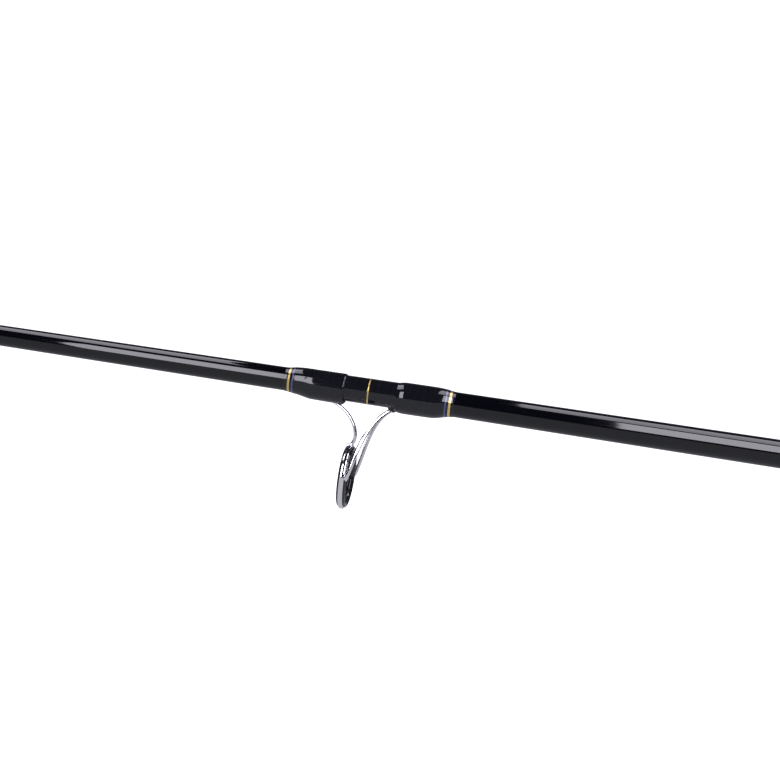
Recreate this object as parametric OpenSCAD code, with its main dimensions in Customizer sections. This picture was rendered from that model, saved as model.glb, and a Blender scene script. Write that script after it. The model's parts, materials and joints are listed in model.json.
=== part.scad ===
// Two-piece spinning rod with a spinning reel in its seat.
// The rod lies along X: the butt end is at the origin and the tip points to -X.
// "d" is the distance from the butt along the rod, so x = -d.
// Guides and reel hang below the rod, towards -Z. The crank is on the -Y side.

/* [Rod] */
// Distance from the butt end to the end of the tip section
rod_length = 2100; // [2060:10:2140]
// Blank diameter at the butt
butt_d = 14.4; // [14:0.1:14.8]
// Blank diameter where the handle ends
handle_d = 13.6; // [13:0.1:13.8]
// Diameter of the butt section at its front end
joint_d = 9.4; // [9:0.1:9.6]
// Blank diameter at the tip
tip_d = 2.2; // [2:0.1:2.6]
// Wall of the tubular blank
blank_wall = 1.1; // [0.9:0.1:1.2]
// Length of the sleeve joint between the two sections
ferrule_overlap = 70; // [60:5:80]

/* [Handle] */
// Radius of the straight part of the rear grip
grip_r = 15; // [14.6:0.1:15.4]
// Radius of the reel seat tube
seat_r = 11; // [10.9:0.1:11.1]
// Travel of the sliding hood from clamped to open
hood_travel = 10; // [8:1:12]
// Pitch of the reel seat thread
seat_pitch = 2; // [1.5:0.5:2]

/* [Guides] */
// Distance of the first guide's ring from the butt
first_guide = 800; // [780:5:820]
// Outer diameter of the first guide's ring frame
first_ring_d = 32; // [30:1:33]
// Height of a ring's centre over the blank, in ring diameters
ring_stand = 1.16; // [1.1:0.01:1.2]

/* [Reel] */
// Drop of the spool axis below the rod axis
reel_drop = 72; // [72:1:76]
// Distance of the crank axis from the butt
crank_at = 375; // [374:1:376]
// Crank radius from its axis to the knob's axis
crank_r = 54; // [50:1:58]
// Radius of the spool's skirt
skirt_r = 25.2; // [24.8:0.1:25.4]
// Half the stroke of the spool along its axis
half_stroke = 7; // [6:0.5:7]

/* [Hidden] */
$fn = 64;
GAP = 0.02;        // between pieces glued or pressed together
RUN = 0.05;        // radial clearance of a running fit
handle_end = 600;
butt_tube_start = 6;
joint_end = 1105;
joint_start = joint_end - ferrule_overlap;
sleeve_r = joint_d / 2 + ferrule_overlap * (handle_d - joint_d) / 2 / (joint_end - handle_end)
    + RUN + blank_wall;
solid_tip_start = 1800;

// Guides: distance from the butt and ring frame diameter
guide_at = [first_guide, 1170, 1460, 1690, 1890];
ring_d = [first_ring_d, 22, 17, 13, 11];
guide_numbers = [0, 1, 2, 3, 4];
tip_top_ring_d = 11;
ring_thickness = 4.6;

// Reel stations along the rod
rotor_at = crank_at + 29.5;
pivot_at = rotor_at + 36.5;
shaft_z = -reel_drop;
crank_z = shaft_z - 7.5;
shaft_r = 2.5;
pinion_r = 3.95;
rotor_arm_r = [27, 31];
bail_closed = 65;   // angle of the closed bail below the forward direction
hoop_r = 26.2;
wire_r = 1.1;
roller_reach = 14;
flange_at = pivot_at - 11;              // back face of the spool's line well
base_end = rotor_at + 3.5;              // front face of the rotor's disc
skirt_back = base_end + 1 + half_stroke;
cup_end = flange_at - half_stroke - 2.5;    // front end of the rotor's cup

// ---------------------------------------------------------------- helpers

function mix(a, b, t) = a + (b - a) * t;

// Point at t on a cubic curve with four control points
function bezier(p, t) = pow(1 - t, 3) * p[0] + 3 * t * pow(1 - t, 2) * p[1]
    + 3 * t * t * (1 - t) * p[2] + t * t * t * p[3];

// Unit vector square to the curve at t
function bezier_normal(p, t) = let (
        tangent = pow(1 - t, 2) * (p[1] - p[0]) + 2 * t * (1 - t) * (p[2] - p[1]) + t * t * (p[3] - p[2])
    ) [-tangent[1], tangent[0]] / norm(tangent);

// Outline of a strip of even width along a cubic curve
function strip(p, width, steps = 12) = concat(
    [for (i = [0:steps]) bezier(p, i / steps) + bezier_normal(p, i / steps) * width / 2],
    [for (i = [steps:-1:0]) bezier(p, i / steps) - bezier_normal(p, i / steps) * width / 2]);

// Turns an outline of [radius, distance from the butt] about a line along the rod
module turned(outline, drop = 0) {
    translate([0, 0, -drop]) rotate([0, -90, 0]) rotate_extrude() polygon(outline);
}

// Straight tube or rod between two distances from the butt
module tube(d0, d1, r, inner = 0, drop = 0) {
    turned([[inner, d0], [r, d0], [r, d1], [inner, d1]], drop);
}

// Extrudes a side view, drawn as [x, z], between two values of y
module across(y0, y1) {
    translate([0, y1, 0]) rotate([90, 0, 0]) linear_extrude(y1 - y0) children();
}

// Cylinder across the rod, at a distance from the butt and a height
module cross(d, z, r, y0, y1) {
    across(y0, y1) translate([-d, z]) circle(r);
}

// Side view of two circles joined by their common tangents; a and b are [d, z, r]
module link(a, b) {
    dx = a[0] - b[0];
    dz = b[1] - a[1];
    heading = atan2(dz, dx);
    spread = acos((a[2] - b[2]) / norm([dx, dz]));
    translate([-a[0], a[1]]) circle(a[2]);
    translate([-b[0], b[1]]) circle(b[2]);
    // a hair inside the tangents, so that each line crosses its circle cleanly
    polygon([for (end = [[a, -1], [b, -1], [b, 1], [a, 1]])
        [-end[0][0] + (end[0][2] - GAP) * cos(heading + end[1] * spread),
         end[0][1] + (end[0][2] - GAP) * sin(heading + end[1] * spread)]]);
}

// Side view of a gear blank with square notches between its teeth
module gear_view(r, teeth, depth) {
    difference() {
        circle(r);
        for (i = [0:teeth - 1]) rotate(i * 360 / teeth)
            translate([r - depth, -r * PI / teeth / 2]) square([depth + 1, r * PI / teeth]);
    }
}

// ---------------------------------------------------------------- blank

// Outer radius of the blank at a distance from the butt
function blank_r(d) =
    d < handle_end ? mix(butt_d, handle_d, d / handle_end) / 2
    : d < joint_start ? butt_section_r(d)
    : mix(sleeve_r, tip_d / 2, (d - joint_start) / (rod_length - joint_start));

// Outer radius of the butt section from the handle to its front end
function butt_section_r(d) = mix(handle_d, joint_d, (d - handle_end) / (joint_end - handle_end)) / 2;

// The room that the blank takes between two distances, with a gap round it
module blank_room(d0, d1, gap = GAP) {
    middle = d0 < handle_end && d1 > handle_end ? [[blank_r(handle_end) + gap, handle_end]] : [];
    turned(concat([[0, d0], [blank_r(d0) + gap, d0]], middle, [[blank_r(d1) + gap, d1], [0, d1]]));
}

module butt_blank() {
    color([0.03, 0.03, 0.04]) turned([
        [blank_r(butt_tube_start), butt_tube_start], [handle_d / 2, handle_end], [joint_d / 2, joint_end],
        [joint_d / 2 - blank_wall, joint_end], [handle_d / 2 - blank_wall, handle_end],
        [blank_r(butt_tube_start) - blank_wall, butt_tube_start]]);
}

module tip_blank() {
    color([0.03, 0.03, 0.04]) turned([
        [sleeve_r - blank_wall, joint_start], [sleeve_r, joint_start], [tip_d / 2, rod_length],
        [0, rod_length], [0, solid_tip_start], [blank_r(solid_tip_start) - blank_wall, solid_tip_start],
        [joint_d / 2 + RUN, joint_end]]);
}

module ferrule_wrap() {
    wrap_end = joint_start + 42;
    layer = 0.6;
    color([0.02, 0.02, 0.03]) difference() {
        turned([[0, joint_start + 0.5], [blank_r(joint_start) + layer * 0.5, joint_start + 0.5],
            [blank_r(joint_start) + layer, joint_start + 3], [blank_r(wrap_end) + layer, wrap_end - 3],
            [blank_r(wrap_end) + layer * 0.3, wrap_end], [0, wrap_end]]);
        blank_room(joint_start, wrap_end + 1);
        ferrule_trims(GAP);
    }
}

module ferrule_trims(gap = 0) {
    color([0.8, 0.65, 0.35]) for (offset = [5, 36]) {
        at = joint_start + offset;
        tube(at - gap, at + 1.2 + gap, blank_r(at) + 0.64 + gap, blank_r(at) + 2 * GAP - gap);
    }
}

// ---------------------------------------------------------------- handle

module butt_cap() {
    edge = 5;
    wall_end = 28;
    color([0.05, 0.05, 0.05]) difference() {
        turned(concat([[0, 0]],
            [for (a = [0:15:90]) [grip_r - edge + edge * sin(a), edge - edge * cos(a)]],
            [[grip_r, wall_end], [0, wall_end]]));
        blank_room(butt_tube_start - GAP, wall_end + 1);
    }
}

module rear_grip() {
    color([0.07, 0.07, 0.08]) difference() {
        turned([[0, 28 + GAP], [grip_r, 28 + GAP], [grip_r, 236], [grip_r - 1.6, 268], [grip_r - 1.6, 288],
            [grip_r - 0.6, 316], [grip_r - 1.4, 324], [0, 324]]);
        blank_room(20, 330);
    }
}

module rear_check() {
    color([0.75, 0.62, 0.38]) difference() {
        tube(324 + GAP, 330 - GAP, 13.2);
        blank_room(320, 335);
    }
}

seat_start = 330;
seat_end = 482;
arbor_r = seat_r - 2;
nut_start = 431.2;
nut_end = 448;
thread_start = 426;
thread_end = nut_end + hood_travel + 9;
foot_start = 354;
foot_end = 414;
foot_r = seat_r + 3.3;
foot_half_w = 8.5;
hood_r = 17;

module seat_arbor() {
    color([0.35, 0.3, 0.25]) difference() {
        tube(seat_start, seat_end, arbor_r - GAP);
        blank_room(seat_start - 1, seat_end + 1);
    }
}

module seat_tube() {
    turns = floor((thread_end - thread_start) / seat_pitch);
    depth = 0.6;
    thread = [for (i = [0:turns - 1], p = [[0, 0], [depth, 0.35], [depth, 0.65]])
        [seat_r - p[0], thread_start + (i + p[1]) * seat_pitch]];
    color([0.06, 0.06, 0.07]) turned(concat([[arbor_r, seat_start], [seat_r, seat_start]], thread,
        [[seat_r, thread_end], [seat_r, seat_end], [arbor_r, seat_end]]));
}

// The reel foot's place under the seat, with a gap round it
module foot_room(gap, drop_side = 0) {
    intersection() {
        tube(foot_start - gap, foot_end + gap, foot_r + gap, seat_r + GAP - gap);
        translate([-foot_end - 1, -foot_half_w - gap, -foot_r - 1])
            cube([foot_end - foot_start + 2, 2 * (foot_half_w + gap), foot_r - 3 - drop_side]);
    }
}

// A hood that holds one end of the reel foot
module hood(d0, d1, inner, mouth_at_end) {
    round = 2.5;
    closed = mouth_at_end ? d0 : d1;
    mouth = mouth_at_end ? d1 : d0;
    toward = mouth_at_end ? 1 : -1;
    difference() {
        turned([[inner, closed], [hood_r - round - 1, closed], [hood_r - 1, closed + toward * round],
            [hood_r, mouth - toward * 5], [hood_r - 0.8, mouth], [inner, mouth]]);
        foot_room(0.15);
    }
}

module fixed_hood() {
    color([0.1, 0.1, 0.11]) hood(336, 361, seat_r + GAP, true);
}

module sliding_hood() {
    color([0.1, 0.1, 0.11]) hood(407, 431, seat_r + 0.1, false);
}

module lock_nut() {
    grooves = 24;
    groove_r = 0.9;
    color([0.75, 0.62, 0.38]) difference() {
        turned([[seat_r + 0.1, nut_start], [15.2, nut_start], [16, nut_start + 1], [16, nut_end - 2],
            [14.5, nut_end], [seat_r + 0.1, nut_end]]);
        for (i = [0:grooves - 1]) rotate([i * 360 / grooves, 0, 0])
            translate([-nut_end + 3, 0, 16.2]) rotate([0, 90, 0]) cylinder(r = groove_r, h = 11, $fn = 16);
    }
}

check_start = 548;

module fore_grip() {
    color([0.07, 0.07, 0.08]) difference() {
        turned([[0, seat_end + GAP], [13.5, seat_end + GAP], [14.5, seat_end + 4], [14, 502], [12, 528],
            [10.6, check_start - 4], [9.8, check_start], [0, check_start]]);
        blank_room(470, check_start + 5);
    }
}

module front_check() {
    color([0.75, 0.62, 0.38]) difference() {
        turned([[0, check_start + GAP], [9.8, check_start + GAP], [9.8, check_start + 3],
            [7.6, check_start + 8], [0, check_start + 8]]);
        blank_room(check_start - 4, check_start + 11);
    }
}

keeper_at = 576;
keeper_r = 4.5;
keeper_wire = 0.7;

// Bent wire loop under the blank that holds the hook
module hook_keeper(gap = 0) {
    top = -blank_r(keeper_at - 14) - 4 * GAP - keeper_wire;
    color([0.7, 0.7, 0.72]) {
        intersection() {
            translate([-keeper_at, 0, top]) rotate([90, 0, 0])
                rotate_extrude() translate([keeper_r, 0]) circle(keeper_wire + gap);
            translate([-keeper_at - 10, -2, top - 10]) cube([20, 4, 10]);
        }
        for (side = [-1, 1]) translate([-keeper_at + side * (keeper_r + 3.2), 0, top])
            rotate([0, 90, 0]) cylinder(r = keeper_wire + 0.12 + gap, h = 7.8 + 2 * gap, center = true);
    }
}

module keeper_wraps() {
    color([0.02, 0.02, 0.03]) difference() {
        for (span = [[-14, -5.6], [5.6, 14]]) {
            d0 = keeper_at + span[0];
            d1 = keeper_at + span[1];
            turned([[0, d0], [blank_r(d0) + 0.3, d0], [blank_r(d0) + 1.9, d0 + 2.5],
                [blank_r(d1) + 1.9, d1 - 2.5], [blank_r(d1) + 0.3, d1], [0, d1]]);
        }
        blank_room(keeper_at - 20, keeper_at + 20);
        hook_keeper(GAP);
    }
}

// ---------------------------------------------------------------- guides

// Scale of a guide against the first one, for its ring and for its feet
function ring_scale(i) = ring_d[i] / first_ring_d;
function foot_scale(i) = sqrt(ring_scale(i));
function ring_drop(i) = blank_r(guide_at[i]) + ring_stand * ring_d[i];

BAND_WALL = 1.2;    // ring frame's band
BAND_SHARE = 0.5;   // width of the band against the ceramic's thickness
LIP = 0.35;         // how far the ceramic's lips stand over the inside of the band

// Ring frame's band
module band(at, drop, d, width) {
    tube(at - width / 2, at + width / 2, d / 2, d / 2 - BAND_WALL, drop);
}

// Ceramic insert: a ring with a rounded inner face that stands out on both sides of its band
module ceramic(at, drop, d, thickness) {
    outer = d / 2 - BAND_WALL - GAP;
    inner = outer - min(2.6, d * 0.08);
    half = thickness / 2;
    lip = outer + LIP;
    band_half = half * BAND_SHARE + GAP;
    turned([[outer, at - band_half], [lip, at - band_half], [lip - 0.3, at - half * 0.9], [outer - 0.7, at - half],
        [inner + 0.6, at - half * 0.75], [inner, at - half * 0.3], [inner, at + half * 0.3],
        [inner + 0.6, at + half * 0.75], [outer - 0.7, at + half], [lip - 0.3, at + half * 0.9],
        [lip, at + band_half], [outer, at + band_half]], drop);
}

// Flat foot under the blank; s runs towards the butt from the ring
module guide_foot(i, s_leg, s_end, gap = 0) {
    at = guide_at[i];
    under = -blank_r(at);
    thick = 1.3 * foot_scale(i);
    half_w = 2.1 * foot_scale(i) + gap;
    difference() {
        across(-half_w, half_w) polygon([for (p = [[s_leg, 1.5], [s_leg, -thick - gap],
            [mix(s_leg, s_end, 0.5), -0.8 * thick - gap], [s_end, -0.3 * thick - gap], [s_end, 1.5]])
            [-at + p[0], under + p[1]]]);
        blank_room(at - 60, at + 60, GAP - gap);
    }
}

// Both feet of one guide, grown by a gap
module guide_feet(i, gap = 0) {
    k = ring_scale(i);
    reach = foot_scale(i);
    guide_foot(i, -8 * k, -8 * k - 20 * reach - gap, gap);
    guide_foot(i, 15.5 * k, 18 * k + 22 * reach + gap, gap);
}

// Half the thickness of a ceramic insert, the sheet of a leg, and a leg's start below the rod axis
function ring_half(i) = ring_thickness * mix(1, ring_scale(i), 0.6) / 2;
function leg_sheet(i) = max(0.9, 1.3 * ring_scale(i));
function leg_start(i) = blank_r(guide_at[i]) + 0.8 * foot_scale(i);

// Curved leg from the front foot to the top of the ring
module front_leg(i, gap = 0) {
    k = ring_scale(i);
    surface = blank_r(guide_at[i]);
    ring_top = ring_drop(i) - ring_d[i] / 2;
    route = [[-11.6 * k, -leg_start(i) - 0.9 * k], [1.8 * k, -surface - 6.1 * k],
        [4.7 * k, -ring_top - 0.5 * k], [-2 * k, -ring_top - 0.5]];
    half_w = 1.9 * k + gap;
    translate([-guide_at[i], 0, 0]) across(-half_w, half_w) polygon(strip(route, leg_sheet(i) + 2 * gap));
}

// Pair of legs that spread from the rear foot to the two sides of the ring
module rear_legs(i) {
    k = ring_scale(i);
    height = ring_drop(i) - leg_start(i);
    spread = atan(ring_d[i] / 2 / height);
    slant = height / cos(spread);
    route = [[18.4 * k, 0], [4.5 * k, -7.8 * k], [max(5 * k, 1.6 * ring_half(i)), -30 * k],
        [0.65 * ring_half(i), -slant]];
    for (side = [-1, 1]) translate([-guide_at[i], 0, -leg_start(i)]) rotate([side * spread, 0, 0])
        across(-leg_sheet(i) / 2, leg_sheet(i) / 2) polygon(strip(route, 2.3 * mix(1, k, 0.7)));
}

module guide_frame(i) {
    at = guide_at[i];
    drop = ring_drop(i);
    color([0.85, 0.85, 0.88]) {
        band(at, drop, ring_d[i], 2 * ring_half(i) * BAND_SHARE);
        guide_feet(i);
        difference() {
            union() {
                front_leg(i);
                rear_legs(i);
            }
            tube(at - ring_half(i) - GAP, at + ring_half(i) + GAP, ring_d[i] / 2 - BAND_WALL + LIP, 0, drop);
            blank_room(at - 60, at + 60);
        }
    }
}

module guide_ring(i) {
    color([0.05, 0.05, 0.06]) ceramic(guide_at[i], ring_drop(i), ring_d[i], 2 * ring_half(i));
}

// Stations of the thread wraps along s: inner end, outer end, trims
function butt_wrap_s(i) = [19.2 * ring_scale(i), 19.2 * ring_scale(i) + 28.6 * foot_scale(i)];
function tip_wrap_s(i) = [-6.7 * ring_scale(i), -6.7 * ring_scale(i) - 29.9 * foot_scale(i)];
TRIM_INSET = [2.2, 4.2];    // gold and blue, from the wrap's outer end to the band's middle
TRIM_WIDTH = [1.15, 0.85];

// Closed outline of layers over the blank; each point is [s, height over the blank]
function over_blank(at, heights) = concat(
    [[0, at - heights[0][0]]],
    [for (p = heights) [blank_r(at - p[0]) + p[1], at - p[0]]],
    [[0, at - heights[len(heights) - 1][0]]]);

// Even layer of thread and resin round the blank, thin at its outer end
module wrap_layer(i, s) {
    outward = sign(s[1] - s[0]);
    at = guide_at[i];
    full = 1.05 * foot_scale(i);
    turned(over_blank(at, [[s[0], full * 0.75], [s[0] + outward * 1.5, full],
        [s[1] - outward * 9, full], [s[1] - outward * 3.5, full * 0.7], [s[1], 0.12]]));
}

// Thicker body of resin under the blank that covers a foot
module wrap_bulge(i, s) {
    outward = sign(s[1] - s[0]);
    at = guide_at[i];
    shift = 0.65 * foot_scale(i);
    full = 1.65 * foot_scale(i);
    slope = outward > 0 ? [11, 3.5] : [14, 5.5];
    turned(over_blank(at, [[s[0], full * 0.8], [s[0] + outward * 2, full],
        [s[1] - outward * slope[0], full * 0.94], [s[1] - outward * slope[1], -0.4]]), shift);
}

module guide_wraps(i) {
    at = guide_at[i];
    color([0.02, 0.02, 0.03]) difference() {
        union() {
            for (s = [butt_wrap_s(i), tip_wrap_s(i)]) {
                wrap_layer(i, s);
                wrap_bulge(i, s);
            }
            sleeve = 0.45 * foot_scale(i);
            turned(over_blank(at, [[butt_wrap_s(i)[0], sleeve], [tip_wrap_s(i)[0], sleeve]]));
        }
        blank_room(at - 60, at + 60);
        guide_feet(i, GAP);
        front_leg(i, GAP);
        for (band = [0, 1]) trims(i, band, GAP);
    }
}

// Coloured thread bands of one guide: band 0 is gold, band 1 is blue
module trims(i, band, gap = 0) {
    at = guide_at[i];
    half = TRIM_WIDTH[band] * mix(1, foot_scale(i), 0.5) / 2 + gap;
    for (s = [butt_wrap_s(i), tip_wrap_s(i)]) {
        middle = at - s[1] + sign(s[1] - s[0]) * TRIM_INSET[band] * foot_scale(i);
        tube(middle - half, middle + half, blank_r(middle) + (0.62 + 0.26 * band) * foot_scale(i) + gap,
            blank_r(middle - half) + 2 * GAP - gap);
    }
    if (band == 0) {
        middle = at - 5.4 * ring_scale(i);
        tube(middle - 0.33 - gap, middle + 0.33 + gap, blank_r(middle) + 0.45 * foot_scale(i) + 0.05 + gap,
            blank_r(middle - half) + 2 * GAP - gap);
    }
}

module gold_trims(first, last) {
    color([0.8, 0.65, 0.35]) for (i = [first:last]) trims(i, 0);
}

module blue_trims(first, last) {
    color([0.15, 0.25, 0.6]) for (i = [first:last]) trims(i, 1);
}

tip_top_drop = 7.2;
TIP_RING_T = 2.4;   // thickness of its ceramic
tip_top_at = rod_length + 5;

module tip_top_frame() {
    socket_r = tip_d / 2 + 0.55;
    color([0.85, 0.85, 0.88]) {
        difference() {
            tube(rod_length - 12, rod_length + 1.2, socket_r);
            blank_room(rod_length - 13, rod_length + GAP);
        }
        band(tip_top_at, tip_top_drop, tip_top_ring_d, TIP_RING_T * BAND_SHARE);
        difference() {
            for (side = [-1, 1]) translate([-tip_top_at, side * 1.3, -tip_top_drop])
                rotate([side * 12, 0, 0]) across(-0.45, 0.45)
                polygon([[-0.8, tip_top_ring_d / 2 - 1], [0.8, tip_top_ring_d / 2 - 1.2], [6, 6.6], [6, 7.6], [-0.8, 7.4]]);
            tube(tip_top_at - 4, tip_top_at + 4, tip_top_ring_d / 2 - BAND_WALL + LIP, 0, tip_top_drop);
            blank_room(rod_length - 13, rod_length + GAP);
        }
    }
}

module tip_top_ring() {
    color([0.05, 0.05, 0.06]) ceramic(tip_top_at, tip_top_drop, tip_top_ring_d, TIP_RING_T);
}

module tip_top_wrap() {
    color([0.02, 0.02, 0.03]) difference() {
        turned([[0, rod_length - 22], [blank_r(rod_length - 22) + 0.15, rod_length - 22],
            [tip_d / 2 + 0.6, rod_length - 18], [tip_d / 2 + 0.6, rod_length - 12.1], [0, rod_length - 12.1]]);
        blank_room(rod_length - 30, rod_length - 5);
    }
}

// ---------------------------------------------------------------- reel housing

case_front = [crank_at, -reel_drop - 7, 21.5];
case_rear = [crank_at - 25, -reel_drop - 4, 15.5];
case_wall = 2.5;
case_half_w = 16;
cover_t = 2.5;
crank_bearing_r = 6.5;

// Side view of the gear case, shrunk by an inset
module case_view(inset = 0) {
    link([case_front[0], case_front[1], case_front[2] - inset], [case_rear[0], case_rear[1], case_rear[2] - inset]);
}

// Places of the side cover's screws, on the middle of the case wall
screw_places = [
    [case_front, 62], [case_front, -50], [case_rear, 180 + 8]];
function screw_place(k) = let (c = screw_places[k][0], a = screw_places[k][1], r = c[2] - case_wall / 2)
    [c[0] + r * cos(a), c[1] + r * sin(a)];

// Front and rear edges of the stem between the foot and the case
stem_front = let (p = [[-foot_end + 8, -foot_r + 1], [-crank_at - 12, -26], [-crank_at - 14, -40],
    [-crank_at - 19, case_front[1] + 13]]) [for (i = [0:12]) bezier(p, i / 12)];
stem_rear = let (p = [[-crank_at + 13, case_front[1] + 18], [-crank_at + 2, -50], [-crank_at - 4, -28],
    [-foot_start - 14, -foot_r + 1]]) [for (i = [0:12]) bezier(p, i / 12)];

module reel_body() {
    flange_end = crank_at + 28;
    color([0.13, 0.14, 0.17]) difference() {
        union() {
            across(-case_half_w, case_half_w) case_view();
            turned([[0, crank_at + 8], [17, crank_at + 8], [19.5, crank_at + 14], [19.5, flange_end - 1.5],
                [18, flange_end], [0, flange_end]], reel_drop);
            across(-4.5, 4.5) polygon(concat(stem_front, stem_rear));
            foot_room(0);
            cross(crank_at, crank_z, 9, -case_half_w - 4, -case_half_w + 1);
        }
        across(-case_half_w + case_wall, case_half_w + 1) case_view(case_wall);
        // flat land that the side cover lies on
        across(case_half_w, case_half_w + 4) case_view(-GAP);
        // seats of the pinion bearing and the one-way clutch
        tube(crank_at + 10, crank_at + 22, 8, 0, reel_drop);
        tube(crank_at + 22, flange_end + 1, 11, 0, reel_drop);
        // bearing seat of the crank shaft, and its way out
        cross(crank_at, crank_z, crank_bearing_r, -case_half_w - 1, 0);
        cross(crank_at, crank_z, 4.5, -case_half_w - 5, 0);
        // bore of the crosswind gear's axle
        cross(crank_at - 19, crank_z, 2 + RUN, -case_half_w + 0.8, 0);
        for (k = [0:2]) cross(screw_place(k)[0], screw_place(k)[1], 0.8 + GAP, 8, case_half_w + 1);
        // room for the seat tube
        tube(foot_start - 20, foot_end + 20, seat_r + GAP);
    }
}

module side_cover() {
    color([0.13, 0.14, 0.17]) difference() {
        union() {
            across(case_half_w + GAP, case_half_w + cover_t) case_view();
            cross(crank_at, crank_z, 12, case_half_w + GAP, case_half_w + cover_t + 2.5);
            cross(crank_at, crank_z, crank_bearing_r + 2, case_half_w - 4, case_half_w + 1);
        }
        cross(crank_at, crank_z, crank_bearing_r, case_half_w - 5, case_half_w + 0.5);
        cross(crank_at, crank_z, 4.5, case_half_w - 5, case_half_w + 3);
        for (k = [0:2]) cross(screw_place(k)[0], screw_place(k)[1], 0.8 + GAP, case_half_w - 1, case_half_w + 4);
    }
}

module cover_screws() {
    top = case_half_w + cover_t;
    color([0.75, 0.75, 0.77]) for (k = [0:2]) difference() {
        union() {
            cross(screw_place(k)[0], screw_place(k)[1], 0.8, case_half_w - 6, top + 1);
            cross(screw_place(k)[0], screw_place(k)[1], 1.9, top + GAP, top + 1.3);
        }
        translate([-screw_place(k)[0], top + 1.3, screw_place(k)[1]]) cube([2.6, 1.2, 0.6], center = true);
    }
}

module crank_bearings() {
    color([0.8, 0.8, 0.82]) for (y = [-case_half_w - 1 + GAP, case_half_w - 3.5]) difference() {
        cross(crank_at, crank_z, crank_bearing_r - GAP, y, y + 3.5);
        cross(crank_at, crank_z, 3.5 + RUN, y - 1, y + 5);
    }
}

module pinion_bearing() {
    color([0.8, 0.8, 0.82]) tube(crank_at + 17.5, crank_at + 22 - GAP, 8 - GAP, pinion_r + RUN, reel_drop);
}

module one_way_clutch() {
    rollers = 8;
    color([0.6, 0.6, 0.62]) difference() {
        tube(crank_at + 22 + GAP, crank_at + 27.8, 11 - GAP, pinion_r + 1.2, reel_drop);
        for (i = [0:rollers - 1]) translate([0, 0, shaft_z]) rotate([i * 360 / rollers, 0, 0])
            translate([-crank_at - 26.8, 0, pinion_r + 3]) rotate([0, -90, 0]) cylinder(r = 1.1, h = 2, $fn = 20);
    }
}

// ---------------------------------------------------------------- gears and shafts

module drive_gear() {
    step_r = 9.4;
    face_teeth = 45;
    color([0.78, 0.62, 0.35]) {
        // shaft from the crank to the far bearing
        cross(crank_at, crank_z, 3.5, -28, case_half_w);
        cross(crank_at, crank_z, 6, 5.6, case_half_w - 4.3);
        difference() {
            cross(crank_at, crank_z, 16.5, 5.3, 8.6);
            cross(crank_at, crank_z, 11.5, 5, 6.3);
            for (i = [0:face_teeth - 1]) translate([-crank_at, 0, crank_z]) rotate([0, i * 360 / face_teeth, 0])
                translate([11, 5, -0.5]) cube([6, 1, 1]);
        }
        across(-10, -7) translate([-crank_at, crank_z]) gear_view(step_r, 20, 1.2);
    }
}

module crosswind_gear() {
    axis_at = crank_at - 19;
    color([0.82, 0.82, 0.84]) {
        across(-10, -7) translate([-axis_at, crank_z]) rotate(9) gear_view(9.4, 20, 1.2);
        cross(axis_at, crank_z, 2, -case_half_w + 1, -9);
        // eccentric pin that stops short of the slider
        cross(axis_at, crank_z + 6, 1.6, -7.5, -4.5);
    }
}

module pinion() {
    teeth = 9;
    back = crank_at + 4;
    color([0.78, 0.62, 0.35]) difference() {
        union() {
            tube(back, rotor_at + 11, pinion_r, 0, reel_drop);
            translate([-back - 12.5, 0, shaft_z]) rotate([0, 90, 0]) linear_extrude(12.5) gear_view(5, teeth, 1);
        }
        tube(back - 1, rotor_at + 12, shaft_r + RUN, 0, reel_drop);
    }
}

slider_start = crank_at - 23;

module main_shaft() {
    color([0.82, 0.82, 0.84]) tube(slider_start + 1, pivot_at + 21, shaft_r, 0, reel_drop);
}

module shaft_slider() {
    color([0.75, 0.75, 0.78]) difference() {
        translate([-slider_start - 8, -4, shaft_z - 3.5]) cube([8, 8, 9.5]);
        tube(slider_start + 1 - GAP, slider_start + 9, shaft_r + GAP, 0, reel_drop);
    }
}

// ---------------------------------------------------------------- rotor and bail

// Side view of one rotor arm, wide at its root and round at the pivot
module rotor_arm_view() {
    tip_r = 6.5;
    translate([-pivot_at, shaft_z]) circle(tip_r);
    polygon([[-rotor_at, shaft_z - 13], [-rotor_at, shaft_z + 13], [-pivot_at + 3, shaft_z + tip_r],
        [-pivot_at, shaft_z + tip_r], [-pivot_at, shaft_z - tip_r], [-pivot_at + 3, shaft_z - tip_r]]);
}

module rotor() {
    color([0.13, 0.14, 0.17]) difference() {
        union() {
            turned([[pinion_r + GAP, rotor_at], [24, rotor_at], [26, rotor_at + 1.5], [26, base_end],
                [22.4, base_end], [22.4, cup_end], [20.6, cup_end], [20.6, base_end],
                [7, base_end], [7, rotor_at + 6.5], [pinion_r + GAP, rotor_at + 6.5]], reel_drop);
            intersection() {
                union() {
                    tube(rotor_at, pivot_at + 7, rotor_arm_r[1], rotor_arm_r[0], reel_drop);
                    tube(rotor_at, base_end, rotor_arm_r[1], 20, reel_drop);
                }
                across(-40, 40) rotor_arm_view();
            }
        }
        cross(pivot_at, shaft_z, 1.8 + RUN, -40, 40);
    }
}

module rotor_nut() {
    color([0.8, 0.8, 0.82]) difference() {
        translate([-rotor_at - 10.8, 0, shaft_z]) rotate([0, 90, 0]) cylinder(r = 6.4, h = 4.2, $fn = 6);
        tube(rotor_at + 5, rotor_at + 12, pinion_r + GAP, 0, reel_drop);
    }
}

// Places children drawn along +X from the pivot at the closed bail's angle
module on_bail() {
    translate([-pivot_at, 0, shaft_z]) rotate([0, -bail_closed, 0]) mirror([1, 0, 0]) children();
}

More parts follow.
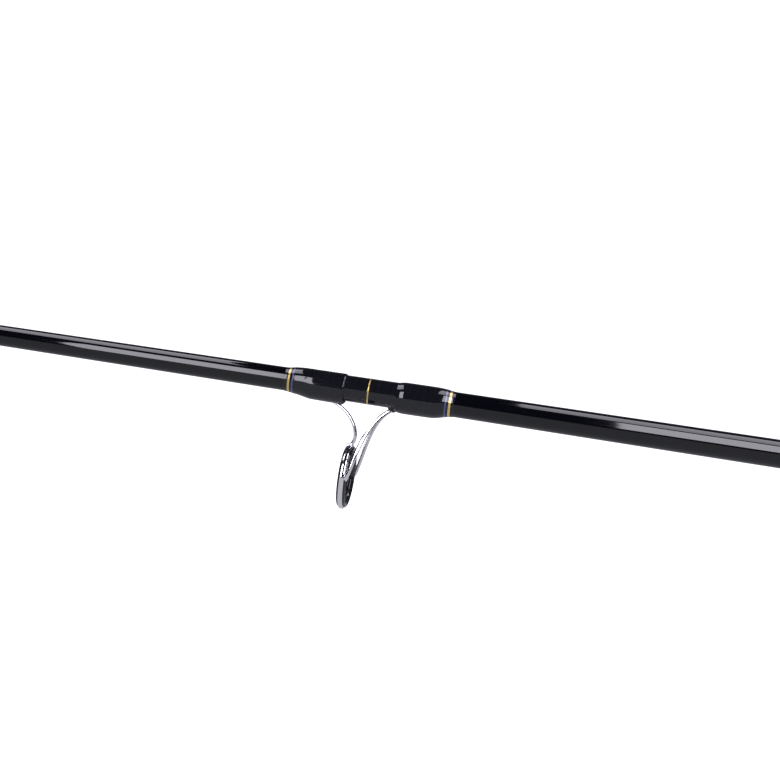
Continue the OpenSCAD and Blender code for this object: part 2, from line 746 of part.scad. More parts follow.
module bail_arms() {
    inner = rotor_arm_r[1] + 0.4;
    outer = inner + 2.6;
    color([0.13, 0.14, 0.17]) on_bail() for (side = [-1, 1]) {
        y0 = side < 0 ? -outer : inner;
        across(y0, y0 + 2.6) link([0, 0, 6.2], [-roller_reach, 0, 4.4]);
        across(side < 0 ? -inner - 0.1 : rotor_arm_r[0] + 0.4, side < 0 ? -rotor_arm_r[0] - 0.4 : inner + 0.1)
            circle(1.8);
        // stud that carries the roller on one side and the wire's end on the other
        across(side < 0 ? -inner - 0.1 : hoop_r + wire_r + GAP, side < 0 ? -hoop_r - wire_r - GAP : inner + 0.1)
            translate([roller_reach, 0]) circle(side < 0 ? 1.2 : 2.2);
    }
}

module bail_wire() {
    eye_w = 2.4;
    color([0.8, 0.8, 0.82]) on_bail() {
        translate([roller_reach, 0, 0]) rotate([0, 0, -90]) rotate_extrude(angle = 180)
            translate([hoop_r, 0]) circle(wire_r);
        for (y = [-hoop_r - wire_r, hoop_r + wire_r - eye_w])
            across(y, y + eye_w) translate([roller_reach, 0]) circle(2);
    }
}

module line_roller() {
    width = 3.6;
    middle = -rotor_arm_r[1] + 1.6;
    color([0.85, 0.75, 0.5]) on_bail() translate([roller_reach, middle, 0]) rotate([90, 0, 0]) rotate_extrude()
        polygon([[1.2 + RUN, -width / 2], [3.2, -width / 2], [3.2, -width / 2 + 0.6], [2.5, 0],
            [3.2, width / 2 - 0.6], [3.2, width / 2], [1.2 + RUN, width / 2]]);
}

// ---------------------------------------------------------------- spool and drag

lip_at = flange_at + 20;

module spool() {
    core_r = 16.5;
    lip_r = skirt_r - 1.7;
    chamber_r = 13;
    color([0.78, 0.66, 0.4]) turned([[shaft_r + RUN, flange_at - 6], [6, flange_at - 6], [6, flange_at],
        [skirt_r - 1.6, flange_at], [skirt_r - 1.6, skirt_back], [skirt_r, skirt_back],
        [skirt_r, flange_at + 2], [skirt_r - 0.7, flange_at + 2.6], [core_r, flange_at + 2.6],
        [core_r, lip_at - 1.2], [lip_r - 1, lip_at], [lip_r, lip_at + 1], [lip_r, lip_at + 2.2],
        [lip_r - 1.6, lip_at + 3.6], [chamber_r, lip_at + 3.6], [chamber_r, flange_at + 4],
        [shaft_r + RUN, flange_at + 4]], reel_drop);
}

module drag_washers() {
    count = 5;
    thickness = 1.5;
    color([0.3, 0.3, 0.32]) for (i = [0:count - 1]) {
        at = flange_at + 4.1 + i * (thickness + 0.05);
        tube(at, at + thickness, 12.6, shaft_r + 0.2, reel_drop);
    }
}

module drag_knob() {
    nose = lip_at - 7.3;
    rim = lip_at + 5;
    front = rim + 10.5;
    grooves = 18;
    knob_r = 12;
    color([0.13, 0.14, 0.17]) difference() {
        turned([[0, nose], [knob_r - 0.6, nose], [knob_r - 0.6, rim], [knob_r, rim + 0.8], [knob_r, front - 2],
            [knob_r - 2, front], [0, front]], reel_drop);
        tube(nose - 1, pivot_at + 21.4, shaft_r + RUN, 0, reel_drop);
        for (i = [0:grooves - 1]) translate([0, 0, shaft_z]) rotate([i * 360 / grooves, 0, 0])
            translate([-front - 1, 0, knob_r + 0.5]) rotate([0, 90, 0]) cylinder(r = 1.1, h = 9.5, $fn = 16);
    }
}

// ---------------------------------------------------------------- crank

crank_out = 43;    // outer face of the crank arm

module crank_arm() {
    hub_y = -case_half_w - 5;
    hub_t = 9;
    // outline in [distance below the crank axis, y]
    outline = [[0, hub_y], [6, hub_y], [14, hub_y - 3], [28, -crank_out + 5], [crank_r, -crank_out + 5],
        [crank_r, -crank_out], [26, -crank_out], [12, hub_y - hub_t], [0, hub_y - hub_t]];
    color([0.13, 0.14, 0.17]) difference() {
        union() {
            cross(crank_at, crank_z, 7.5, hub_y - hub_t, hub_y);
            cross(crank_at, crank_z - crank_r, 6, -crank_out, -crank_out + 5);
            translate([-crank_at, 0, crank_z]) rotate([0, 90, 0]) linear_extrude(11, center = true) polygon(outline);
        }
        cross(crank_at, crank_z, 3.5 + GAP, -28 - GAP, 0);
        cross(crank_at, crank_z - crank_r, 2, -50, -30);
    }
}

module crank_knob() {
    face = -crank_out - 0.3;
    color([0.07, 0.07, 0.08]) {
        translate([-crank_at, face, crank_z - crank_r]) rotate([90, 0, 0]) rotate_extrude()
            polygon([[0, 0], [5, 0], [5, 2], [7.5, 5], [10.5, 11], [11.5, 17], [10, 22], [6.5, 25], [0, 26]]);
        cross(crank_at, crank_z - crank_r, 2 - RUN, face - 1, -crank_out + 4.6);
    }
}

// ---------------------------------------------------------------- nodes

butt_blank();
tip_blank();
ferrule_wrap();
ferrule_trims();
butt_cap();
rear_grip();
rear_check();
seat_arbor();
seat_tube();
fixed_hood();
sliding_hood();
lock_nut();
fore_grip();
front_check();
hook_keeper();
keeper_wraps();
for (i = guide_numbers) {
    guide_frame(i);
    guide_ring(i);
    guide_wraps(i);
}
gold_trims(0, 0);  // butt_gold_trims
blue_trims(0, 0);  // butt_blue_trims
gold_trims(1, 4);  // tip_gold_trims
blue_trims(1, 4);  // tip_blue_trims
tip_top_frame();
tip_top_ring();
tip_top_wrap();
reel_body();
side_cover();
cover_screws();
drive_gear();
crank_bearings();
crosswind_gear();
pinion();
pinion_bearing();
one_way_clutch();
main_shaft();
shaft_slider();
rotor();
rotor_nut();
bail_arms();
bail_wire();
line_roller();
spool();
drag_washers();
drag_knob();
crank_arm();
crank_knob();
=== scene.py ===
"""Looks of a two-piece spinning rod and its reel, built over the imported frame.

The rod lies along X with its butt end at the origin and its tip towards -X. Guides and reel hang
towards -Z. Lengths are in metres. "d" is a distance from the butt end, so x = -d.
"""

import json
import logging
import math
from dataclasses import dataclass
from enum import Enum
from typing import Callable, Iterable, Sequence

import bmesh
import bpy
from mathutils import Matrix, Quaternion, Vector

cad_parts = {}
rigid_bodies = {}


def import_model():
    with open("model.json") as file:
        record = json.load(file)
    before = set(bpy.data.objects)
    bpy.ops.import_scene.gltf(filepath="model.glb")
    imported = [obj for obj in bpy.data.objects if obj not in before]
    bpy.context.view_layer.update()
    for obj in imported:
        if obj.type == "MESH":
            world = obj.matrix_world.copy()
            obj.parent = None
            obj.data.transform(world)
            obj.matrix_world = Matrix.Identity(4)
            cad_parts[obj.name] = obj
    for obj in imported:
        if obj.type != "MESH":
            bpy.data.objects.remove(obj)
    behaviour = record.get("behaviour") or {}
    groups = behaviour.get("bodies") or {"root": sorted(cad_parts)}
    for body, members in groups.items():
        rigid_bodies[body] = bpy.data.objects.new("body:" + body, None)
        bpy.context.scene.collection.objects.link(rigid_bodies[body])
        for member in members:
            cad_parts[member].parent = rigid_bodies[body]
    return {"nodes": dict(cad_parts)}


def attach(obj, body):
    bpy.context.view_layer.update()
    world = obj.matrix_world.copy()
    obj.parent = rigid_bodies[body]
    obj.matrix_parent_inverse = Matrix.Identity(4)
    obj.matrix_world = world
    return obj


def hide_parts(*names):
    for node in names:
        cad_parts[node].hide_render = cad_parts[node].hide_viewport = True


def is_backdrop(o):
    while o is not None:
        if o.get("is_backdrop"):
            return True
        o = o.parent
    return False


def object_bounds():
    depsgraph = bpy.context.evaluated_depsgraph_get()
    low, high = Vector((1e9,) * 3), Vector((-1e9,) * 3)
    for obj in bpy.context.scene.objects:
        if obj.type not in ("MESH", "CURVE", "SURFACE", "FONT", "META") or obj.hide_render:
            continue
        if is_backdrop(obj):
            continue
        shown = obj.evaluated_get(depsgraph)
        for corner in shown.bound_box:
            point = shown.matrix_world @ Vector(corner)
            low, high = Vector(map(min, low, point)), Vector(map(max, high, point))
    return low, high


LOG = logging.getLogger("rod")
MM = 0.001
SPIN_WELD = 2e-6
LOFT_WELD = 1e-6
STRAIGHT = math.radians(172)
FINE_STEPS = 96
Profile = list[tuple[float, float]]
Fill = Callable[[bpy.types.NodeTree, bpy.types.Node], tuple]


# ---------------------------------------------------------------- modelling by operators


def deselect() -> None:
    """Deselects every object."""
    bpy.ops.object.select_all(action="DESELECT")


def first_point(name: str, place: Vector) -> bpy.types.Object:
    """Starts a piece as one vertex and leaves it in edit mode.

    Args:
        name: The new object's name.
        place: Where the vertex goes.

    Returns:
        The new object, in edit mode with its vertex selected.
    """
    deselect()
    bpy.ops.mesh.primitive_plane_add(size=MM, location=(0, 0, 0))
    piece = bpy.context.object
    piece.name = name
    piece.data.name = name
    bpy.ops.object.mode_set(mode="EDIT")
    bpy.ops.mesh.select_all(action="SELECT")
    bpy.ops.mesh.merge(type="CENTER")
    bpy.ops.transform.translate(value=place)
    return piece


def smooth(piece: bpy.types.Object, angle: float = 35.0) -> bpy.types.Object:
    """Shades a piece smooth and keeps its sharp edges.

    Args:
        piece: The piece to shade.
        angle: Edges that turn by more than this, in degrees, stay sharp.

    Returns:
        The same piece.
    """
    deselect()
    piece.select_set(True)
    bpy.context.view_layer.objects.active = piece
    bpy.ops.object.shade_smooth_by_angle(angle=math.radians(angle))
    return piece


def revolve(name: str, profile: Profile, centre: Vector = Vector((0, 0, 0)),
            axis: Vector = Vector((-1, 0, 0)), steps: int = 72) -> bpy.types.Object:
    """Turns a profile about an axis by extruding a vertex along it and spinning the line.

    Args:
        name: The new object's name.
        profile: Points of (distance along the axis, radius).
        centre: A point on the axis.
        axis: Direction of the axis.
        steps: Number of steps of the full turn.

    Returns:
        The turned piece.
    """
    side = Vector((0, 0, 1)) if abs(axis.z) < 0.9 else Vector((1, 0, 0))
    side = (side - axis * side.dot(axis)).normalized()
    points = [centre + axis * along + side * radius for along, radius in profile]
    piece = first_point(name, points[0])
    for here, there in zip(points, points[1:]):
        bpy.ops.mesh.extrude_region_move(TRANSFORM_OT_translate={"value": there - here})
    bpy.ops.mesh.select_all(action="SELECT")
    bpy.ops.mesh.spin(steps=steps, angle=math.tau, center=centre, axis=axis)
    bpy.ops.mesh.select_all(action="SELECT")
    bpy.ops.mesh.remove_doubles(threshold=SPIN_WELD)
    bpy.ops.mesh.normals_make_consistent(inside=False)
    bpy.ops.object.mode_set(mode="OBJECT")
    return smooth(piece)


def loft(name: str, rings: Sequence[Sequence[Vector]]) -> bpy.types.Object:
    """Extrudes a face from ring to ring, so both ends stay closed.

    Args:
        name: The new object's name.
        rings: Rings of equal length, in order.

    Returns:
        The lofted piece.
    """
    deselect()
    bpy.ops.mesh.primitive_circle_add(vertices=len(rings[0]), radius=MM, fill_type="NGON")
    piece = bpy.context.object
    piece.name = name
    piece.data.name = name
    bpy.ops.object.mode_set(mode="EDIT")
    bpy.ops.mesh.select_all(action="SELECT")
    mesh = bmesh.from_edit_mesh(piece.data)
    mesh.verts.ensure_lookup_table()
    order: dict[tuple[float, ...], int] = {}
    for number, place in enumerate(rings[0]):
        mesh.verts[number].co = place
        order[tuple(mesh.verts[number].co)] = number
    for ring in rings[1:]:
        bpy.ops.mesh.extrude_region_move()
        mesh = bmesh.from_edit_mesh(piece.data)
        following: dict[tuple[float, ...], int] = {}
        for vertex in [v for v in mesh.verts if v.select]:
            number = order[tuple(vertex.co)]
            vertex.co = ring[number]
            following[tuple(vertex.co)] = number
        order = following
    bpy.ops.mesh.select_all(action="SELECT")
    bpy.ops.mesh.remove_doubles(threshold=LOFT_WELD)
    bpy.ops.mesh.normals_make_consistent(inside=False)
    bpy.ops.object.mode_set(mode="OBJECT")
    return smooth(piece)


def join(name: str, pieces: Sequence[bpy.types.Object]) -> bpy.types.Object:
    """Joins finished parts into one piece.

    Args:
        name: The joined piece's name.
        pieces: The parts, of which the first takes in the others.

    Returns:
        The joined piece.
    """
    deselect()
    for piece in pieces:
        piece.select_set(True)
    bpy.context.view_layer.objects.active = pieces[0]
    bpy.ops.object.join()
    pieces[0].name = name
    pieces[0].data.name = name
    return pieces[0]


def mix(a: float, b: float, t: float) -> float:
    """Value between a and b at share t."""
    return a + (b - a) * t


def split(start: float, end: float, count: int) -> list[float]:
    """Places that split a length into equal steps, with both ends."""
    return [start + number * (end - start) / count for number in range(count + 1)]


def squarish(value: float, edge: float) -> float:
    """Sine or cosine for a section that goes from a rectangle, at edge 0, to an ellipse, at 1."""
    return math.copysign(abs(value) ** edge, value)


def glide(table: Profile, at: float) -> float:
    """Reads a table on a smooth curve that never overshoots its rows.

    Args:
        table: Rows of (place, value), in order of place.
        at: The place to read at.

    Returns:
        The value there, or an end row's past an end.
    """
    steep = [(high - low) / (b - a) for (a, low), (b, high) in zip(table, table[1:])]
    slopes = [0.0] * len(table)
    slopes[0], slopes[-1] = steep[0], steep[-1]
    for row, (before, after) in enumerate(zip(steep, steep[1:]), start=1):
        slopes[row] = 2 * before * after / (before + after) if before * after > 0 else 0.0
    for row, ((a, low), (b, high)) in enumerate(zip(table, table[1:])):
        if at <= b:
            span = b - a
            t = max(0.0, (at - a) / span)
            return (low * (1 + 2 * t) * (1 - t) ** 2 + high * t * t * (3 - 2 * t)
                    + span * (slopes[row] * t * (1 - t) ** 2 - slopes[row + 1] * t * t * (1 - t)))
    return table[-1][1]


def rounded(profile: Profile, radius: float, segments: int = 4) -> Profile:
    """Rounds the inner corners of a profile.

    Args:
        profile: Points of (distance, radius), in millimetres.
        radius: Radius to round with, less where a side is short.
        segments: Number of steps of each rounded corner.

    Returns:
        The rounded profile, in millimetres.
    """
    done: Profile = [profile[0]]
    for before, corner, after in zip(profile, profile[1:], profile[2:]):
        c = Vector(corner)
        back, on = Vector(before) - c, Vector(after) - c
        turn = back.angle(on) if back.length * on.length > 0 else math.pi
        if turn > STRAIGHT:
            done.append(corner)
            continue
        reach = min(radius / math.tan(turn / 2), 0.48 * back.length, 0.48 * on.length)
        start, end = c + back.normalized() * reach, c + on.normalized() * reach
        for step in range(segments + 1):
            t = step / segments
            point = start * (1 - t) ** 2 + c * 2 * t * (1 - t) + end * t * t
            done.append((point.x, point.y))
    return done + [profile[-1]]


def in_metres(profile: Iterable[tuple[float, float]]) -> Profile:
    """Profile in metres from one in millimetres."""
    return [(a * MM, r * MM) for a, r in profile]


def curve_point(p: Sequence[Vector], t: float) -> Vector:
    """Point at t on a cubic curve with four control points."""
    u = 1 - t
    return p[0] * u ** 3 + p[1] * 3 * t * u * u + p[2] * 3 * t * t * u + p[3] * t ** 3


# ---------------------------------------------------------------- finishes


class Pattern(Enum):
    """What the fine surface of a finish shows."""

    POLISHED = "polished"
    THREAD = "thread"
    FOAM = "foam"
    TURNED = "turned"
    GRAINED = "grained"
    WOVEN = "woven"


@dataclass(frozen=True)
class Finish:
    """One finish: its colours, gloss and fine pattern."""

    slot: str
    dark: tuple[float, float, float]
    light: tuple[float, float, float]
    roughness: tuple[float, float]
    pattern: Pattern
    scale: float
    relief: float
    metallic: float = 0.0
    coat: float = 0.0
    coat_roughness: float = 0.03
    specular: float = 0.5


FINISHES = (
    Finish("blank_gloss", (0.0008, 0.0009, 0.0016), (0.0013, 0.0014, 0.0024), (0.03, 0.05),
           Pattern.POLISHED, 60, 0.0),
    Finish("wrap_resin", (0.0016, 0.0018, 0.0030), (0.0048, 0.0050, 0.0068), (0.03, 0.06),
           Pattern.THREAD, 1, 0.0),
    Finish("gold_thread", (0.30, 0.20, 0.045), (0.58, 0.43, 0.14), (0.22, 0.34),
           Pattern.THREAD, 1, 0.08, metallic=0.7, coat=1.0),
    Finish("blue_thread", (0.005, 0.009, 0.048), (0.014, 0.026, 0.12), (0.25, 0.4),
           Pattern.THREAD, 1, 0.08, coat=1.0),
    Finish("guide_steel", (0.80, 0.79, 0.83), (0.92, 0.91, 0.95), (0.07, 0.12),
           Pattern.GRAINED, 900, 0.01, metallic=1.0),
    Finish("ring_ceramic", (0.004, 0.004, 0.005), (0.008, 0.008, 0.010), (0.05, 0.09),
           Pattern.POLISHED, 300, 0.0, specular=0.7),
    Finish("grip_foam", (0.010, 0.010, 0.011), (0.030, 0.030, 0.032), (0.78, 0.92),
           Pattern.FOAM, 1500, 0.25),
    Finish("black_rubber", (0.012, 0.012, 0.013), (0.028, 0.028, 0.030), (0.55, 0.70),
           Pattern.GRAINED, 1200, 0.15),
    Finish("seat_black", (0.010, 0.010, 0.012), (0.018, 0.018, 0.021), (0.22, 0.34),
           Pattern.GRAINED, 700, 0.05, coat=0.3, coat_roughness=0.12),
    Finish("gold_anodised", (0.66, 0.46, 0.20), (0.84, 0.62, 0.30), (0.20, 0.32),
           Pattern.TURNED, 1, 0.05, metallic=1.0),
    Finish("arbor_foam", (0.42, 0.38, 0.30), (0.56, 0.52, 0.43), (0.8, 0.9),
           Pattern.FOAM, 900, 0.3),
    Finish("reel_paint", (0.010, 0.012, 0.018), (0.020, 0.023, 0.034), (0.30, 0.42),
           Pattern.GRAINED, 1500, 0.06, metallic=0.35, coat=0.5, coat_roughness=0.10),
    Finish("gear_brass", (0.62, 0.42, 0.17), (0.80, 0.60, 0.28), (0.24, 0.36),
           Pattern.TURNED, 1, 0.05, metallic=1.0),
    Finish("bright_steel", (0.62, 0.62, 0.64), (0.80, 0.80, 0.82), (0.14, 0.24),
           Pattern.TURNED, 1, 0.04, metallic=1.0),
    Finish("zinc_grey", (0.34, 0.34, 0.36), (0.50, 0.50, 0.52), (0.34, 0.48),
           Pattern.GRAINED, 800, 0.10, metallic=1.0),
    Finish("roller_gold", (0.80, 0.60, 0.25), (0.95, 0.78, 0.42), (0.10, 0.18),
           Pattern.TURNED, 1, 0.02, metallic=1.0),
    Finish("drag_carbon", (0.010, 0.010, 0.011), (0.045, 0.045, 0.050), (0.35, 0.55),
           Pattern.WOVEN, 1, 0.15),
)


class Bench:
    """Builds the shared effects and the materials that use them."""

    def __init__(self) -> None:
        """Builds the node groups of the patterns, and the materials."""
        grain = self._group("Fine_Grain", self._noise)
        self.groups: dict[Pattern, bpy.types.NodeTree] = {
            Pattern.POLISHED: grain,
            Pattern.GRAINED: grain,
            Pattern.FOAM: self._group("Foam_Pores", self._pores),
            Pattern.THREAD: self._group("Thread_Turns", self._turns),
            Pattern.TURNED: self._group("Turned_Lines", self._lines),
            Pattern.WOVEN: self._group("Cross_Weave", self._weave),
        }
        self.haze = self._group("Handling_Haze", self._haze)
        self.materials: dict[str, bpy.types.Material] = {
            finish.slot: self._material(finish) for finish in FINISHES}

    @staticmethod
    def _group(name: str, fill: Fill) -> bpy.types.NodeTree:
        """Makes an effect group with a place and a scale in, and a height and a mask out.

        Args:
            name: The group's name.
            fill: Adds the effect's nodes and returns its height and mask sockets.

        Returns:
            The node group.
        """
        tree = bpy.data.node_groups.new(name, "ShaderNodeTree")
        tree.interface.new_socket("Place", in_out="INPUT", socket_type="NodeSocketVector")
        tree.interface.new_socket("Scale", in_out="INPUT", socket_type="NodeSocketFloat")
        tree.interface.new_socket("Height", in_out="OUTPUT", socket_type="NodeSocketFloat")
        tree.interface.new_socket("Mask", in_out="OUTPUT", socket_type="NodeSocketFloat")
        entry = tree.nodes.new("NodeGroupInput")
        out = tree.nodes.new("NodeGroupOutput")
        height, mask = fill(tree, entry)
        tree.links.new(height, out.inputs["Height"])
        tree.links.new(mask, out.inputs["Mask"])
        return tree

    @staticmethod
    def _noise(tree: bpy.types.NodeTree, entry: bpy.types.Node) -> tuple:
        """Fine even grain and a slower drift of tone.

        Args:
            tree: The group's nodes.
            entry: The group's input node.

        Returns:
            The height and mask sockets.
        """
        fine = tree.nodes.new("ShaderNodeTexNoise")
        fine.inputs["Detail"].default_value = 4
        slow = tree.nodes.new("ShaderNodeTexNoise")
        slow.inputs["Scale"].default_value = 45
        tree.links.new(entry.outputs["Place"], fine.inputs["Vector"])
        tree.links.new(entry.outputs["Place"], slow.inputs["Vector"])
        tree.links.new(entry.outputs["Scale"], fine.inputs["Scale"])
        return fine.outputs["Fac"], slow.outputs["Fac"]

    @staticmethod
    def _pores(tree: bpy.types.NodeTree, entry: bpy.types.Node) -> tuple:
        """Closed cells of foam, with a few larger pits.

        Args:
            tree: The group's nodes.
            entry: The group's input node.

        Returns:
            The height and mask sockets.
        """
        cells = tree.nodes.new("ShaderNodeTexVoronoi")
        cells.feature = "SMOOTH_F1"
        pits = tree.nodes.new("ShaderNodeTexNoise")
        pits.inputs["Detail"].default_value = 5
        half = tree.nodes.new("ShaderNodeMath")
        half.operation = "MULTIPLY"
        half.inputs[1].default_value = 0.3
        for node in (cells, pits):
            tree.links.new(entry.outputs["Place"], node.inputs["Vector"])
        tree.links.new(entry.outputs["Scale"], cells.inputs["Scale"])
        tree.links.new(entry.outputs["Scale"], half.inputs[0])
        tree.links.new(half.outputs[0], pits.inputs["Scale"])
        return cells.outputs["Distance"], pits.outputs["Fac"]

    @staticmethod
    def _turns(tree: bpy.types.NodeTree, entry: bpy.types.Node) -> tuple:
        """Turns of thread side by side along the rod, with a slight unevenness.

        Args:
            tree: The group's nodes.
            entry: The group's input node.

        Returns:
            The height and mask sockets.
        """
        wave = tree.nodes.new("ShaderNodeTexWave")
        wave.bands_direction = "X"
        wave.inputs["Scale"].default_value = 1250
        wave.inputs["Distortion"].default_value = 0.6
        wave.inputs["Detail Scale"].default_value = 0.4
        tone = tree.nodes.new("ShaderNodeTexNoise")
        tone.inputs["Scale"].default_value = 350
        stretch = tree.nodes.new("ShaderNodeMapping")
        stretch.inputs["Scale"].default_value = (4, 0.4, 0.4)
        tree.links.new(entry.outputs["Place"], wave.inputs["Vector"])
        tree.links.new(entry.outputs["Place"], stretch.inputs["Vector"])
        tree.links.new(stretch.outputs["Vector"], tone.inputs["Vector"])
        return wave.outputs["Fac"], tone.outputs["Fac"]

    @staticmethod
    def _lines(tree: bpy.types.NodeTree, entry: bpy.types.Node) -> tuple:
        """Faint lines left by turning.

        Args:
            tree: The group's nodes.
            entry: The group's input node.

        Returns:
            The height and mask sockets.
        """
        stretch = tree.nodes.new("ShaderNodeMapping")
        stretch.inputs["Scale"].default_value = (30, 1, 1)
        lines = tree.nodes.new("ShaderNodeTexNoise")
        lines.inputs["Scale"].default_value = 120
        lines.inputs["Detail"].default_value = 3
        slow = tree.nodes.new("ShaderNodeTexNoise")
        slow.inputs["Scale"].default_value = 60
        tree.links.new(entry.outputs["Place"], stretch.inputs["Vector"])
        tree.links.new(stretch.outputs["Vector"], lines.inputs["Vector"])
        tree.links.new(entry.outputs["Place"], slow.inputs["Vector"])
        return lines.outputs["Fac"], slow.outputs["Fac"]

    @staticmethod
    def _weave(tree: bpy.types.NodeTree, entry: bpy.types.Node) -> tuple:
        """Plain weave of flat tows across the rod.

        Args:
            tree: The group's nodes.
            entry: The group's input node.

        Returns:
            The height and mask sockets.
        """
        across = tree.nodes.new("ShaderNodeTexWave")
        across.bands_direction = "Y"
        upward = tree.nodes.new("ShaderNodeTexWave")
        upward.bands_direction = "Z"
        for node in (across, upward):
            node.inputs["Scale"].default_value = 160
            tree.links.new(entry.outputs["Place"], node.inputs["Vector"])
        both = tree.nodes.new("ShaderNodeMath")
        both.operation = "MULTIPLY"
        tree.links.new(across.outputs["Fac"], both.inputs[0])
        tree.links.new(upward.outputs["Fac"], both.inputs[1])
        return both.outputs[0], both.outputs[0]

    @staticmethod
    def _haze(tree: bpy.types.NodeTree, entry: bpy.types.Node) -> tuple:
        """Uneven haze from handling, which only roughens.

        Args:
            tree: The group's nodes.
            entry: The group's input node.

        Returns:
            The height and mask sockets.
        """
        cloud = tree.nodes.new("ShaderNodeTexNoise")
        cloud.inputs["Scale"].default_value = 28
        cloud.inputs["Detail"].default_value = 6
        tree.links.new(entry.outputs["Place"], cloud.inputs["Vector"])
        return cloud.outputs["Fac"], cloud.outputs["Fac"]

    def _material(self, finish: Finish) -> bpy.types.Material:
        """Builds the material of one finish.

        Args:
            finish: Colours, gloss and pattern.

        Returns:
            The material, named for its finish.
        """
        material = bpy.data.materials.new("Mat_" + finish.slot)
        material.use_nodes = True
        tree = material.node_tree
        shader = tree.nodes["Principled BSDF"]
        shader.inputs["Metallic"].default_value = finish.metallic
        shader.inputs["Specular IOR Level"].default_value = finish.specular
        shader.inputs["Coat Weight"].default_value = finish.coat
        shader.inputs["Coat Roughness"].default_value = finish.coat_roughness
        place = tree.nodes.new("ShaderNodeTexCoord")
        effect = tree.nodes.new("ShaderNodeGroup")
        effect.node_tree = self.groups[finish.pattern]
        effect.inputs["Scale"].default_value = finish.scale
        tree.links.new(place.outputs["Object"], effect.inputs["Place"])
        colour = tree.nodes.new("ShaderNodeMix")
        colour.data_type = "RGBA"
        colour.inputs["A"].default_value = (*finish.dark, 1)
        colour.inputs["B"].default_value = (*finish.light, 1)
        tree.links.new(effect.outputs["Mask"], colour.inputs["Factor"])
        tree.links.new(colour.outputs["Result"], shader.inputs["Base Color"])
        haze = tree.nodes.new("ShaderNodeGroup")
        haze.node_tree = self.haze
        tree.links.new(place.outputs["Object"], haze.inputs["Place"])
        gloss = tree.nodes.new("ShaderNodeMapRange")
        gloss.inputs["From Min"].default_value = 0.3
        gloss.inputs["From Max"].default_value = 0.7
        gloss.inputs["To Min"].default_value = finish.roughness[0]
        gloss.inputs["To Max"].default_value = finish.roughness[1]
        tree.links.new(haze.outputs["Mask"], gloss.inputs["Value"])
        tree.links.new(gloss.outputs["Result"], shader.inputs["Roughness"])
        if finish.relief > 0:
            bump = tree.nodes.new("ShaderNodeBump")
            bump.inputs["Strength"].default_value = finish.relief
            bump.inputs["Distance"].default_value = 0.0002
            tree.links.new(effect.outputs["Height"], bump.inputs["Height"])
            tree.links.new(bump.outputs["Normal"], shader.inputs["Normal"])
        return material

    def dress(self, piece: bpy.types.Object, slot: str) -> None:
        """Gives a whole piece one finish and reports it.

        Args:
            piece: The finished piece.
            slot: The finish's slot.
        """
        piece.data.materials.clear()
        piece.data.materials.append(self.materials[slot])
        LOG.info("%s made and dressed in %s", piece.name, slot)

    def dress_cad(self, nodes: dict[str, bpy.types.Object]) -> None:
        """Gives every carried-over node the finish that its packed material names.

        Args:
            nodes: The nodes by name.
        """
        for node in nodes.values():
            for place in node.material_slots:
                place.material = self.materials[place.material.name.split(".")[0]]


# ---------------------------------------------------------------- the rod


@dataclass(frozen=True)
class Blank:
    """Outer shape of the two blank sections, in millimetres."""

    butt_r: float = 7.2
    handle_r: float = 6.8
    joint_r: float = 4.7
    sleeve_r: float = 6.1411
    tip_r: float = 1.1
    wall: float = 1.1
    tube_start: float = 6.0
    handle_end: float = 600.0
    joint_start: float = 1035.0
    joint_end: float = 1105.0
    solid_start: float = 1800.0
    length: float = 2100.0
    edge: float = 0.3
    joint_gap: float = 0.05

    def butt_radius(self, d: float) -> float:
        """Outer radius of the butt section, which runs on inside the tip section.

        Args:
            d: Distance from the butt end.

        Returns:
            The radius.
        """
        if d < self.handle_end:
            return mix(self.butt_r, self.handle_r, d / self.handle_end)
        return mix(self.handle_r, self.joint_r,
                   (d - self.handle_end) / (self.joint_end - self.handle_end))

    def radius(self, d: float) -> float:
        """Outer radius of the section that shows.

        Args:
            d: Distance from the butt end.

        Returns:
            The radius.
        """
        if d < self.joint_start:
            return self.butt_radius(d)
        return mix(self.sleeve_r, self.tip_r,
                   (d - self.joint_start) / (self.length - self.joint_start))

    def build(self, bench: Bench) -> None:
        """Builds both sections as long turned tubes and dresses them.

        Args:
            bench: Holds the materials.
        """
        stations = split(self.tube_start, self.handle_end, 11)
        stations += split(self.handle_end, self.joint_end, 10)[1:]
        outer = [(d, self.butt_radius(d)) for d in stations]
        inner = [(d, r - self.wall) for d, r in reversed(outer)]
        profile = rounded(outer + inner + [outer[0]], self.edge)
        butt = revolve("butt_section_tube", in_metres(profile), steps=FINE_STEPS)
        self._finish(bench, butt, "butt_section", "butt_blank")

        outer = [(d, self.radius(d)) for d in split(self.joint_start, self.length, 20)]
        bore = [(self.solid_start, 0.0),
                (self.solid_start, self.radius(self.solid_start) - self.wall),
                (self.joint_end, self.joint_r + self.joint_gap),
                (self.joint_start, self.sleeve_r - self.wall)]
        profile = [(self.joint_start, self.sleeve_r - self.wall)] + outer + [(self.length, 0.0)]
        tip = revolve("tip_section_tube", in_metres(rounded(profile, self.edge)), steps=FINE_STEPS)
        lining = revolve("tip_section_bore", in_metres(bore), steps=48)
        tip = join("tip_section_tube", [tip, lining])
        self._finish(bench, tip, "tip_section", "tip_blank")

    @staticmethod
    def _finish(bench: Bench, piece: bpy.types.Object, body: str, node: str) -> None:
        """Dresses one section and sets it on its body.

        Args:
            bench: Holds the materials.
            piece: The section.
            body: The body that it rides on.
            node: The node that it stands for.
        """
        bench.dress(piece, "blank_gloss")
        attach(piece, body)
        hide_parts(node)


BLANK = Blank()
GUIDE_AT = (800.0, 1170.0, 1460.0, 1690.0, 1890.0)
RING_D = (32.0, 22.0, 17.0, 13.0, 11.0)


